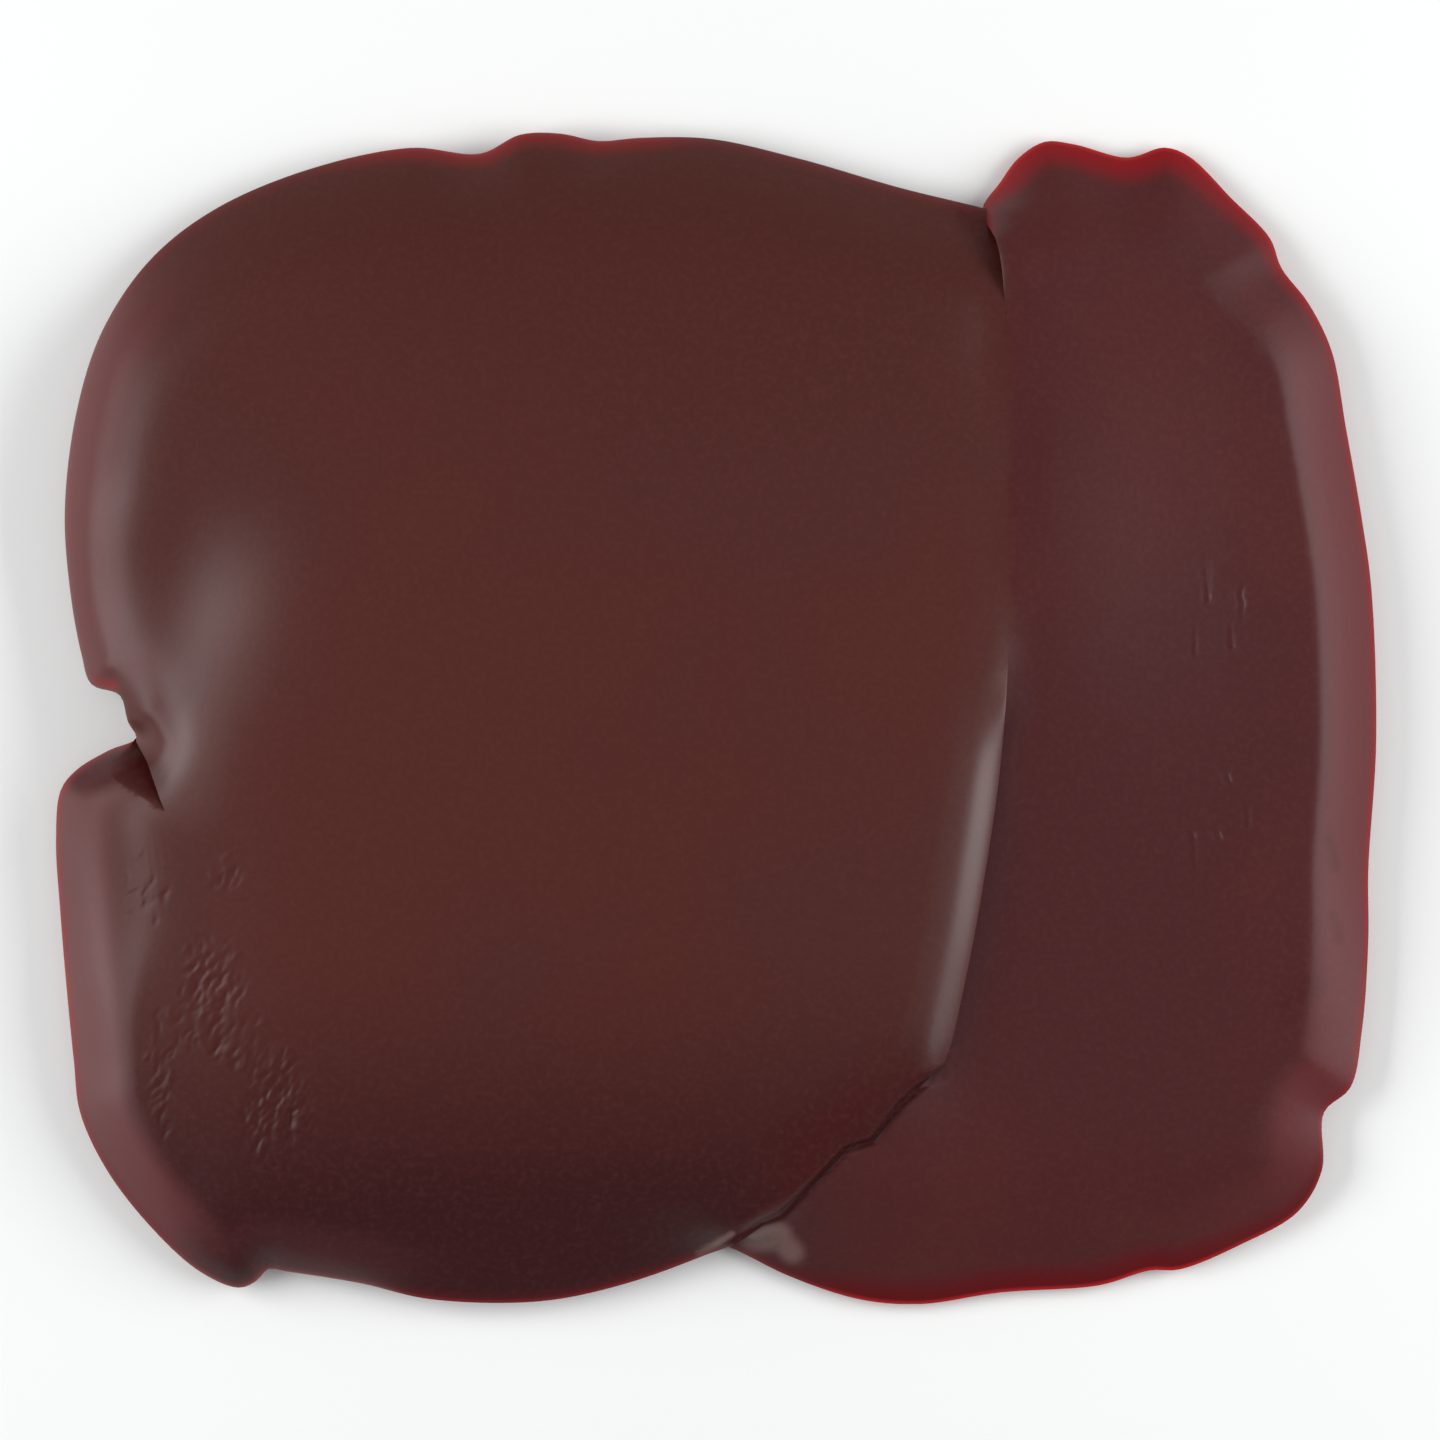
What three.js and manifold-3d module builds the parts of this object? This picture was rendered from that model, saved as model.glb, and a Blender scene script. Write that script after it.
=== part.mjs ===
// Raw pork liver lying flat: a broad main lobe, parted from its small lower corner by a short fissure, and a
// long right lobe that it grew together with and partly overlaps. Millimetres, +Z up. Seen from above, +X is
// to the right and +Y is away. The origin is on the surface that the liver rests on, under the middle of its
// plan.
import * as THREE from "three";
import { mergeVertices } from "three/addons/utils/BufferGeometryUtils.js";
import Module from "manifold-3d";

// Driving dimensions
const MAIN_THICKNESS = 28;
const RIGHT_THICKNESS = 15.5;
const RIM_SPACING = 4.4; // between neighbouring points round a rim
const TOP_RINGS = 15; // from the rim to the middle of a lobe
const TOP_BUNCHING = 2.1; // the higher, the closer the outer rings lie to the rim
const UNDER_RINGS = 4;
const UNDER_REACH = 0.15; // how far in the last ring below lies, as a share of the way to the middle
const CORE_THICKNESS = 10;
const FREE_EDGE = 6; // a rim lower than this rounds down to the floor on a single radius
const HIGH_EDGE = 12; // a rim higher than this hangs over the lobe beside it
const OVERHANG_RADIUS = 3.4; // of the rounding below a rim that hangs over
const OVERHANG_REACH = 9; // how far in such a rim's underside comes down to the floor
const SAG = 0.4; // how far the rounding below a rim would go under the floor, where the meat sags flat
const MIDDLE_SPREAD = 0.7; // how far along a long lobe's middle a ring closes, as a share of the rim's own y
const MIDDLE_SPACING = 10;
const WELD = 0.001;
const RIM_BLEND = 2.5; // distance over which one kind of rim passes into the next
const BLEND_GROWTH = 0.35; // by how much that distance grows with each millimetre in from the rim

// Each kind of rim: how high its outermost line lies, the width over which the top rises from it, and how
// rounded that rise is, from 0 for a flat slope to 1 for a full curve. The height counts up from the floor
// where hang is 0, and down from the lobe's crown where it is 1.
const RIMS = {
  left: { rise: 4.5, flank: 17, round: 1, hang: 0 },
  back: { rise: 4.5, flank: 24, round: 0.5, hang: 0 },
  front: { rise: 4.5, flank: 30, round: 0.5, hang: 0 },
  corner: { rise: 4.4, flank: 11.5, round: 0.22, hang: 0 },
  wide: { rise: 4.2, flank: 24, round: 0.4, hang: 0 },
  tip: { rise: 3.4, flank: 12, round: 0.6, hang: 0 },
  end: { rise: 3, flank: 8.5, round: 0.22, hang: 0 },
  turn: { rise: 4, flank: 18, round: 0.8, hang: 0 },
  cleft: { rise: 1.5, flank: 3, round: 0.8, hang: 1 },
  over: { rise: 3.4, flank: 9, round: 0.5, hang: 1 },
  overFront: { rise: 1.2, flank: 6, round: 0.8, hang: 1 },
  level: { rise: 0.4, flank: 12, round: 1, hang: 1 },
  buried: { rise: 4, flank: 20, round: 1, hang: 0 },
  thin: { rise: 2.2, flank: 26, round: 0.35, hang: 0 },
  thinning: { rise: 3, flank: 19, round: 0.3, hang: 0 },
  right: { rise: 4.6, flank: 11.5, round: 0.15, hang: 0 },
  tucked: { rise: 4, flank: 16, round: 1, hang: 0 },
  raised: { rise: 0.9, flank: 4, round: 0.8, hang: 1 },
  core: { rise: 6, flank: 10, round: 1, hang: 0 },
};

// The landmarks of each rim in plan: x, y and the kind of rim there, clockwise from above
const MAIN_RIM = [
  [-123.7, 39.7, "left"],
  [-121.4, 58.7, "left"],
  [-116.5, 73.9, "left"],
  [-107.5, 87.2, "back"],
  [-95.4, 96.7, "back"],
  [-77.7, 104.3, "back"],
  [-58, 108.5, "back"],
  [-44.8, 107.4, "back"],
  [-37.2, 111, "back"],
  [-29.6, 111.2, "back"],
  [-22.4, 109.8, "back"],
  [-14.4, 110.4, "back"],
  [-1, 110.2, "back"],
  [16, 106.4, "back"],
  [35, 100.9, "back"],
  [51, 97, "back"],
  [62, 94, "buried"],
  [69, 84, "buried"],
  [64, 73, "buried"],
  [57, 65, "level"],
  [56, 58, "level"],
  [55.2, 47, "level"],
  [55.2, 26.5, "level"],
  [54.7, 7.5, "level"],
  [53.4, -9.7, "over"],
  [50.7, -28.7, "over"],
  [47.3, -47.7, "over"],
  [43, -65, "over"],
  [41, -67, "overFront"],
  [35, -72.4, "overFront"],
  [26.4, -80.4, "overFront"],
  [16, -90, "overFront"],
  [4.6, -98.7, "overFront"],
  [-3, -102.2, "front"],
  [-18, -107.5, "front"],
  [-33.4, -110.6, "front"],
  [-54.3, -110.2, "front"],
  [-67.6, -107.2, "turn"],
  [-82, -104.9, "turn"],
  [-85, -104.5, "tip"],
  [-87.6, -107, "tip"],
  [-90.8, -108.1, "tip"],
  [-98, -105.1, "tip"],
  [-106.8, -97.1, "corner"],
  [-115.7, -85.7, "corner"],
  [-120.8, -74.7, "corner"],
  [-122, -64.8, "corner"],
  [-123.5, -49.6, "corner"],
  [-124.6, -36.3, "wide"],
  [-125.4, -23, "wide"],
  [-124.5, -13.5, "wide"],
  [-121.6, -9.7, "end"],
  [-115.3, -5.9, "end"],
  [-110.1, -3.6, "end"],
  [-111.2, -0.6, "cleft"],
  [-112.6, 4.4, "cleft"],
  [-118.6, 6.6, "left"],
  [-120.5, 12.2, "left"],
  [-122.7, 24.5, "left"],
];
const RIGHT_RIM = [
  [50.6, 96.8, "thin"],
  [54, 102, "thin"],
  [57.4, 106.6, "thin"],
  [62.5, 109.8, "thin"],
  [68.2, 109.3, "thin"],
  [78.3, 106.8, "thin"],
  [85.3, 108.7, "thin"],
  [90, 107, "thin"],
  [98, 99, "thinning"],
  [105.3, 91.4, "thinning"],
  [107.4, 85.7, "right"],
  [112.5, 79, "right"],
  [116.9, 70, "right"],
  [119.7, 55, "right"],
  [122.7, 37.8, "right"],
  [124.5, 24.5, "right"],
  [125.4, -4, "right"],
  [123.9, -28.7, "right"],
  [123.9, -42, "right"],
  [122.7, -59, "right"],
  [120.5, -70, "right"],
  [115.5, -74.7, "right"],
  [115.1, -85.7, "right"],
  [110.6, -93.7, "thinning"],
  [99.6, -100, "thinning"],
  [88.2, -104.7, "thin"],
  [82.5, -104.9, "thin"],
  [73, -107.7, "thin"],
  [54, -109.1, "thin"],
  [38.8, -111.3, "thin"],
  [27.4, -110.4, "thin"],
  [14, -106, "thin"],
  [3.6, -100.9, "thin"],
  [-8, -96, "tucked"],
  [-9, -86, "tucked"],
  [4, -66, "tucked"],
  [23, -44, "tucked"],
  [33, -10, "tucked"],
  [38, 30, "tucked"],
  [44, 50, "tucked"],
  [52, 63, "raised"],
  [54.4, 72, "raised"],
  [54.2, 82, "raised"],
  [53, 90, "raised"],
];
// Wholly inside the other two, where it fills what their undersides leave free
const CORE_RIM = [
  [42, 84, "core"],
  [62, 92, "core"],
  [78, 80, "core"],
  [84, 20, "core"],
  [80, -60, "core"],
  [40, -92, "core"],
  [8, -92, "core"],
  [-6, -88, "core"],
  [-2, -60, "core"],
  [20, -20, "core"],
  [26, 50, "core"],
];

// Broad rises and dips of each top: centre, reach along x and y, and height
const MAIN_SWELLS = [
  { x: -106, y: 24, rx: 19, ry: 16, height: -5 },
  { x: -115, y: 2, rx: 17, ry: 18, height: -4 },
  { x: -118, y: -60, rx: 26, ry: 48, height: -4 },
  { x: 52, y: 86, rx: 16, ry: 18, height: -1 },
];
const RIGHT_SWELLS = [
  { x: 56, y: 34, rx: 30, ry: 40, height: 5.5 },
  { x: 53, y: 96, rx: 14, ry: 16, height: 1.5 },
  { x: 20, y: -86, rx: 14, ry: 14, height: 2.5 },
  { x: 35, y: -74, rx: 9, ry: 9, height: 2 },
  { x: 10, y: -97, rx: 9, ry: 8, height: 3.5 },
];
const CORE_SWELLS = [{ x: 55, y: 64, rx: 12, ry: 14, height: 6 }];

// The cut that opens the fissure, from the notch inwards: x, y, and how deep it is there below the top. It
// goes in under the lip on its upper side, and its lower side rounds down into it.
const FISSURE = [
  [-113.6, 0.6, 5],
  [-110, -4.2, 6.5],
  [-107.4, -7.8, 6],
  [-106, -11.2, 4],
  [-104.8, -14.4, 1.8],
  [-103.6, -17.4, 0],
];
const FISSURE_SPREAD = 8; // how far down its lower side the top is rounded into it
const SPREAD_AT_END = 0.25; // share of that spread where the cut runs out
const SPREAD_DEPTH = 7; // the cut's depth from which on it has the full spread
const FISSURE_ARC = 4; // steps of that rounding
const LIP_LEAN = 0.22; // how far the cut goes in under the lip, as a share of its depth
const CUT_FLOOR = 3.8; // the lowest that the cut goes
const LEAST_WALL = 0.1; // of the leaning wall, where the top is hardly above that
const CLEAR = 1; // by how much the cut starts above the surface

const { clamp, lerp, smoothstep } = THREE.MathUtils;

// Share of the full height at a share of the flank's width: steep at the rim, level where the flank ends
function shoulder(share, round) {
  return (1 - (1 - Math.min(share, 1)) ** lerp(1.15, 2.2, round)) ** lerp(0.95, 0.7, round);
}

// A quarter circle, from 0 at the edge to 1
function quarter(share) {
  return Math.sqrt(1 - (1 - Math.min(share, 1)) ** 2);
}

// How far a point is from the straight line between a and b, and how far along it
function against([ax, ay], [bx, by], x, y) {
  const [dx, dy] = [bx - ax, by - ay];
  const along = clamp(((x - ax) * dx + (y - ay) * dy) / (dx ** 2 + dy ** 2), 0, 1);
  const gap = Math.hypot(x - ax - along * dx, y - ay - along * dy);
  return { gap, along };
}

// The sizes of two kinds of rim, blended
function mixSizes(from, to, share) {
  return {
    rise: lerp(from.rise, to.rise, share),
    flank: lerp(from.flank, to.flank, share),
    round: lerp(from.round, to.round, share),
    hang: lerp(from.hang, to.hang, share),
  };
}

// The rim as points along a closed spline through its landmarks, each with the sizes of its kind
function rimPoints(landmarks) {
  const corners = landmarks.map(([x, y]) => new THREE.Vector3(x, y, 0));
  const curve = new THREE.CatmullRomCurve3(corners, true, "centripetal");
  return landmarks.flatMap(([, , kind], i) => {
    const next = (i + 1) % landmarks.length;
    const from = RIMS[kind];
    const to = RIMS[landmarks[next][2]];
    const steps = Math.max(1, Math.round(corners[i].distanceTo(corners[next]) / RIM_SPACING));
    return Array.from({ length: steps }, (_, step) => {
      const share = smoothstep(step / steps, 0, 1);
      const at = curve.getPoint((i + step / steps) / landmarks.length);
      return { at: [at.x, at.y], ...mixSizes(from, to, share) };
    });
  });
}

// How far a point of the plan lies from the rim, and the sizes of the rim nearest to it
function nearestRim(rim, x, y) {
  const sides = rim.map((point, i) => {
    const next = rim[(i + 1) % rim.length];
    return { point, next, ...against(point.at, next.at, x, y) };
  });
  const distance = Math.min(...sides.map(({ gap }) => gap));
  let near = sides[0].point;
  let total = 0;
  for (const { point, next, gap, along } of sides) {
    const weight = Math.exp((distance - gap) / (RIM_BLEND + BLEND_GROWTH * distance));
    total += weight;
    near = mixSizes(near, mixSizes(point, next, along), weight / total);
  }
  return { distance, ...near };
}

// Height of a lobe's top if its rim didn't round it off
function crown(lobe, x, y) {
  const reaches = { left: lobe.x - x, right: x - lobe.x, front: -y, back: y };
  let z = lobe.thickness + (lobe.tilt * (x - lobe.x)) / 100;
  for (const [side, reach] of Object.entries(reaches)) {
    z -= lobe.fall[side] * (Math.max(reach, 0) / 100) ** 2;
  }
  for (const swell of lobe.swells) {
    z += swell.height * Math.exp(-(((x - swell.x) / swell.rx) ** 2) - ((y - swell.y) / swell.ry) ** 2);
  }
  return z;
}

// Height of the rim's outermost line
function rimHeight(lobe, x, y, { rise, hang }) {
  return lerp(rise, crown(lobe, x, y) - rise, hang);
}

function topHeight(lobe, x, y) {
  const near = nearestRim(lobe.rim, x, y);
  const rise = rimHeight(lobe, x, y, near);
  return rise + (crown(lobe, x, y) - rise) * shoulder(near.distance / near.flank, near.round);
}

// The underside rounds in from the rim, and one that hangs over the next lobe comes down inside that lobe
function underHeight(lobe, x, y) {
  const near = nearestRim(lobe.rim, x, y);
  const { distance } = near;
  const rise = rimHeight(lobe, x, y, near);
  const radius = lerp(rise, OVERHANG_RADIUS, smoothstep(rise, FREE_EDGE, HIGH_EDGE));
  const fall = (rise - radius) * smoothstep(distance, radius / 2, OVERHANG_REACH);
  const sunk = radius + SAG;
  return Math.max(0, rise - sunk * quarter(distance / sunk) - fall);
}

// A solid skinned over a row of closed loops with as many points each. The first and the last loop each fold
// shut, on a point or a line, so merging their points closes the skin.
function skin(loops) {
  const count = loops[0].length;
  const points = loops.flat().map(([x, y, z]) => new THREE.Vector3(x, y, z));
  const faces = [];
  for (let k = 0; k + 1 < loops.length; k++) {
    for (let i = 0; i < count; i++) {
      const j = (i + 1) % count;
      const [a, b, c, d] = [k * count + i, k * count + j, (k + 1) * count + j, (k + 1) * count + i];
      const split = points[a].distanceTo(points[c]) < points[b].distanceTo(points[d]);
      faces.push(...(split ? [[a, c, b], [a, d, c]] : [[a, d, b], [b, d, c]]));
    }
  }
  const loose = new THREE.BufferGeometry().setFromPoints(points).setIndex(faces.flat());
  const geometry = mergeVertices(loose, WELD);
  const corners = [...geometry.index.array];
  const merged = faces.map((_, i) => corners.slice(3 * i, 3 * i + 3));
  return geometry.setIndex(merged.filter((face) => new Set(face).size === 3).flat());
}

// A closed lobe: rings of points from the middle out below it, and from the rim in to the middle over its
// top. The middle of a long lobe is a line of points along y, as far either way as its reach.
function lobeGeometry(lobe) {
  const ring = (inset, height) =>
    lobe.rim.map(({ at }) => {
      const middleY = clamp(at[1] * MIDDLE_SPREAD, -lobe.reach, lobe.reach);
      const x = lerp(at[0], lobe.x, inset);
      const y = lerp(at[1], Math.round(middleY / MIDDLE_SPACING) * MIDDLE_SPACING, inset);
      return [x, y, height(lobe, x, y)];
    });
  const loops = [ring(1, () => 0), ring(UNDER_REACH, () => 0)];
  for (let k = UNDER_RINGS - 1; k > 0; k--) {
    loops.push(ring((k / UNDER_RINGS) ** 2 * UNDER_REACH, underHeight));
  }
  for (let k = 0; k <= TOP_RINGS; k++) {
    loops.push(ring((k / TOP_RINGS) ** TOP_BUNCHING, topHeight));
  }
  return skin(loops);
}

// The cut: loops across the fissure, each from the bottom of the leaning wall up the rounded lower side, over
// the top and back down to the lip
function fissureGeometry(lobe) {
  const ceiling = lobe.thickness + CLEAR;
  const loops = FISSURE.map(([x, y, depth], i) => {
    const [fromX, fromY] = FISSURE[Math.max(i - 1, 0)];
    const [toX, toY] = FISSURE[Math.min(i + 1, FISSURE.length - 1)];
    const length = Math.hypot(toX - fromX, toY - fromY);
    const [sideX, sideY] = [(fromY - toY) / length, (toX - fromX) / length];
    const across = (offset, z) => [x + offset * sideX, y + offset * sideY, z];
    const edge = topHeight(lobe, x, y) + (depth > 0 ? 0 : CLEAR);
    const bottom = Math.max(edge - depth, CUT_FLOOR);
    const lip = Math.max(edge, bottom + LEAST_WALL);
    const spread = FISSURE_SPREAD * lerp(SPREAD_AT_END, 1, smoothstep(depth, 0, SPREAD_DEPTH));
    const [farX, farY] = across(-spread, 0);
    const far = Math.max(topHeight(lobe, farX, farY), bottom) + CLEAR / 4;
    const arc = Array.from({ length: FISSURE_ARC }, (_, step) => {
      const share = (step + 1) / FISSURE_ARC;
      return across(-spread * share, lerp(bottom, far, quarter(share)));
    });
    const over = [across(-spread, ceiling), across(0, ceiling), across(0, lip)];
    return [across(LIP_LEAN * depth, bottom), ...arc, ...over];
  });
  // Both ends close on the middle of the opening
  const shut = ([start, ...others]) => {
    const middle = start.map((value, axis) => (value + others[FISSURE_ARC][axis]) / 2);
    return [start, ...others].map(() => middle);
  };
  return skin([shut(loops[0]), ...loops, shut(loops[loops.length - 1])]);
}

const wasm = await Module();
wasm.setup();

function solidOf(geometry) {
  return new wasm.Manifold(
    new wasm.Mesh({
      numProp: 3,
      vertProperties: geometry.attributes.position.array,
      triVerts: new Uint32Array(geometry.index.array),
    }),
  );
}

function geometryOf(solid) {
  const { vertProperties, triVerts } = solid.getMesh();
  const geometry = new THREE.BufferGeometry();
  geometry.setAttribute("position", new THREE.BufferAttribute(new Float32Array(vertProperties), 3));
  geometry.setIndex(new THREE.BufferAttribute(new Uint32Array(triVerts), 1));
  geometry.computeVertexNormals();
  return geometry;
}

// thickness is a lobe's height in the middle, fall how much lower it curves down 100 mm from there on each
// side, and tilt how much it rises along x in 100 mm
const mainLobe = {
  rim: rimPoints(MAIN_RIM),
  thickness: MAIN_THICKNESS,
  fall: { left: 8, right: 6, front: 12, back: 10 },
  tilt: 0,
  swells: MAIN_SWELLS,
  x: -30,
  reach: 0,
};
const rightLobe = {
  rim: rimPoints(RIGHT_RIM),
  thickness: RIGHT_THICKNESS,
  fall: { left: 0, right: 0, front: 9, back: 4 },
  tilt: -8,
  swells: RIGHT_SWELLS,
  x: 84,
  reach: 60,
};
const core = {
  rim: rimPoints(CORE_RIM),
  thickness: CORE_THICKNESS,
  fall: { left: 0, right: 0, front: 6, back: 0 },
  tilt: -4,
  swells: CORE_SWELLS,
  x: 50,
  reach: 0,
};

const whole = [mainLobe, rightLobe, core]
  .map((lobe) => solidOf(lobeGeometry(lobe)))
  .reduce((sum, lobe) => sum.add(lobe))
  .subtract(solidOf(fissureGeometry(mainLobe)));

const liver = new THREE.Mesh(
  geometryOf(whole),
  new THREE.MeshStandardMaterial({ color: "#53302c", roughness: 0.32, metalness: 0 }),
);
liver.name = "liver";

const part = new THREE.Group();
part.add(liver);
export default part;
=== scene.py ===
# %% [markdown]
# # Raw pork liver
#
# A whole pork liver lies flat on a pale surface, seen from straight above. It is one piece of meat with two
# lobes: a broad brown main lobe on the left, and a long purple-red right lobe that it grew together with
# and partly covers. The lesson builds it in the order that a modeller would: outline, relief, lobes, seam,
# small creases, colour, light.
#
# The first cell loads the frame. It is the CAD solid that the finished piece stands for, so its box is kept
# as the limit that nothing here may pass.

# %% Load the frame
import math
import bpy
import numpy as np
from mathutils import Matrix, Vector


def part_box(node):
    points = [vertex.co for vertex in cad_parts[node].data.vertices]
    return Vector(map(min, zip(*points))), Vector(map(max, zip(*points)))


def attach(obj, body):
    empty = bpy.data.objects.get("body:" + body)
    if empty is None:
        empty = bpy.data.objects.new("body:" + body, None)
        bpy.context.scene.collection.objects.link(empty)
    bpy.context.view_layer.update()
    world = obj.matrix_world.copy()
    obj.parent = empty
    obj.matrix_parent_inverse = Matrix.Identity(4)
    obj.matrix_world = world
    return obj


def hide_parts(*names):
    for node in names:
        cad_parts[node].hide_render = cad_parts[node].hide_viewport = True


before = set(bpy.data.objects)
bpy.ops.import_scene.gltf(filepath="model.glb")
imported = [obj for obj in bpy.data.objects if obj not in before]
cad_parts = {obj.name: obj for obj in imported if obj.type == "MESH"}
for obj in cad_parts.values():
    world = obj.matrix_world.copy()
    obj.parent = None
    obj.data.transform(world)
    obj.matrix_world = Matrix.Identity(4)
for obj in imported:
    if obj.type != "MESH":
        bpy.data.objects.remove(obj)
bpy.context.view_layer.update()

MM = 0.001
lowest, highest = (np.array(corner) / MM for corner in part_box("liver"))
print("the liver's box in millimetres:", lowest.round(1), highest.round(1))

# %% [markdown]
# ## Kinds of rim
#
# Liver has no straight edge. It is thick and rounded in one place and a thin red blade in another, so the
# rim could be sculpted by hand, but then nothing about it could be changed later. Here each kind of rim is
# a row of numbers: how high its outermost line lies, over what width the top rises from it, how rounded
# that rise is, and how far in from it the meat is thin enough to let light through and look red.

# %% Name the kinds of rim
# Rise, flank and the width of the painted rim light are in millimetres. Round goes from 0 for a flat slope
# to 1 for a full curve.
# Hang is 1 where the rise counts down from the top. The next two are how strong the red light painted
# through a thin rim is, and how much paler pink is painted on its flank for the sheen and the light through
# the thin meat. Wet is how shiny a rim is.
SIZES = ["rise", "flank", "round", "hang", "blush", "glow", "pale", "wet"]
KINDS = {
    "left": (4.5, 17, 1, 0, 2.2, 0.15, 0.7, 0),
    "back": (4.5, 24, 0.5, 0, 2.6, 0.2, 0, 0),
    "red_back": (4.5, 24, 0.5, 0, 4, 0.65, 0, 0),
    "front": (4.5, 30, 0.5, 0, 2.8, 0.6, 0, 0),
    "corner": (4.4, 11.5, 0.22, 0, 1.9, 0.5, 0.9, 0.45),
    "wide": (4.2, 24, 0.4, 0, 1.9, 0.5, 0.7, 0.5),
    "tip": (3.4, 12, 0.6, 0, 1.8, 0.6, 0, 0.2),
    "end": (3, 8.5, 0.22, 0, 1.6, 0.5, 0, 0),
    "turn": (4, 18, 0.8, 0, 1.8, 0.5, 0.2, 0.2),
    "cleft": (1.5, 3, 0.8, 1, 0.4, 0, 0, 0.2),
    "over": (3.4, 9, 0.5, 1, 0, 0, 0, 0.6),
    "over_front": (1.2, 6, 0.8, 1, 0, 0, 0, 0),
    "level": (0.4, 12, 1, 1, 0, 0, 0, 0),
    "buried": (4, 20, 1, 0, 0, 0, 0, 0),
    "thin": (2.2, 26, 0.35, 0, 7, 1, 0, 0),
    "fold": (2.2, 26, 0.35, 0, 3, 0.5, 0, 0),
    "thinning": (3, 19, 0.3, 0, 5, 0.8, 0.2, 0),
    "shoulder": (4.6, 11.5, 0.15, 0, 3, 0.7, 0.1, 0),
    "right": (4.6, 11.5, 0.15, 0, 2, 0.5, 0.8, 0),
    "tucked": (4, 16, 1, 0, 0, 0, 0, 0),
    "raised": (0.9, 4, 0.8, 1, 0, 0, 0, 0),
    "core": (6, 10, 1, 0, 0, 0, 0, 0),
}
RIMS = {kind: dict(zip(SIZES, row)) for kind, row in KINDS.items()}
print("kinds of rim:", len(RIMS))

# %% [markdown]
# ## The outlines
#
# Each lobe's outline is a row of landmarks in plan, clockwise from above, in millimetres. Between two of
# them the kind of rim passes gently into the next. The third outline is a hidden core that fills what the
# rounded undersides of the two lobes leave free, so that the finished liver has no empty pocket inside.

# %% Mark the outlines
MAIN_RIM = [
    ("left", (-123.7, 39.7), (-121.4, 58.7), (-116.5, 73.9)),
    ("back", (-107.5, 87.2), (-95.4, 96.7), (-77.7, 104.3)),
    ("red_back", (-58, 108.5), (-44.8, 107.4), (-37.2, 111), (-29.6, 111.2), (-22.4, 109.8), (-14.4, 110.4)),
    ("back", (-1, 110.2), (16, 106.4), (35, 100.9), (51, 97)),
    ("buried", (62, 94), (69, 84), (64, 73)),
    ("level", (57, 65), (56, 58), (55.2, 47), (55.2, 26.5), (54.7, 7.5)),
    ("over", (53.4, -9.7), (50.7, -28.7), (47.3, -47.7), (43, -65)),
    ("over_front", (41, -67), (35, -72.4), (26.4, -80.4), (16, -90), (4.6, -98.7)),
    ("front", (-3, -102.2), (-18, -107.5), (-33.4, -110.6), (-54.3, -110.2)),
    ("turn", (-67.6, -107.2), (-82, -104.9)),
    ("tip", (-85, -104.5), (-87.6, -107), (-90.8, -108.1), (-98, -105.1)),
    ("corner", (-106.8, -97.1), (-115.7, -85.7), (-120.8, -74.7), (-122, -64.8), (-123.5, -49.6)),
    ("wide", (-124.6, -36.3), (-125.4, -23), (-124.5, -13.5)),
    ("end", (-121.6, -9.7), (-115.3, -5.9), (-110.1, -3.6)),
    ("cleft", (-111.2, -0.6), (-112.6, 4.4)),
    ("left", (-118.6, 6.6), (-120.5, 12.2), (-122.7, 24.5)),
]
RIGHT_RIM = [
    ("fold", (50.6, 96.8)),
    ("thin", (54, 102), (57.4, 106.6), (62.5, 109.8), (68.2, 109.3), (78.3, 106.8)),
    ("thin", (85.3, 108.7), (90, 107)),
    ("thinning", (98, 99), (105.3, 91.4)),
    ("shoulder", (107.4, 85.7), (112.5, 79)),
    ("right", (116.9, 70), (119.7, 55), (122.7, 37.8), (124.5, 24.5)),
    ("right", (125.4, -4), (123.9, -28.7), (123.9, -42), (122.7, -59), (120.5, -70), (115.5, -74.7)),
    ("right", (115.1, -85.7)),
    ("thinning", (110.6, -93.7), (99.6, -100)),
    ("thin", (88.2, -104.7), (82.5, -104.9), (73, -107.7), (54, -109.1), (38.8, -111.3)),
    ("thin", (27.4, -110.4)),
    ("fold", (14, -106), (3.6, -100.9)),
    ("tucked", (-8, -96), (-9, -86), (4, -66), (23, -44), (33, -10), (38, 30), (44, 50)),
    ("raised", (52, 63), (54.4, 72), (54.2, 82), (53, 90)),
]
CORE_RIM = [
    ("core", (42, 84), (62, 92), (78, 80), (84, 20), (80, -60), (40, -92), (8, -92)),
    ("core", (-6, -88), (-2, -60), (20, -20), (26, 50)),
]
print("runs of landmarks:", len(MAIN_RIM), len(RIGHT_RIM), len(CORE_RIM))

# %% [markdown]
# ## From landmarks to a smooth rim
#
# A polygon through the landmarks would show corners in the gloss. A closed Catmull-Rom spline goes through
# each landmark without a corner, and its centripetal form makes no loops where landmarks lie close
# together.

# %% Draw the rims
RIM_SPACING = 1.25


def ease(x, start, end):
    """0 up to start, 1 from end on, smooth between."""
    t = np.clip((x - start) / (end - start), 0, 1)
    return t * t * (3 - 2 * t)


def blend(a, b, share):
    """a where the share is 0, b where it is 1."""
    return a + (b - a) * share


def between(p0, p1, p2, p3, t):
    """Points of the spline from p1 to p2."""
    k0, k1, k2 = (max(math.dist(a, b), 1e-4) ** 0.5 for a, b in ((p0, p1), (p1, p2), (p2, p3)))
    p0, p1, p2, p3 = map(np.array, (p0, p1, p2, p3))
    leave = ((p1 - p0) / k0 - (p2 - p0) / (k0 + k1) + (p2 - p1) / k1) * k1
    arrive = ((p2 - p1) / k1 - (p3 - p1) / (k1 + k2) + (p3 - p2) / k2) * k1
    t = t[:, None]
    square = 3 * (p2 - p1) - 2 * leave - arrive
    cube = 2 * (p1 - p2) + leave + arrive
    return p1 + leave * t + square * t**2 + cube * t**3


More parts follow.
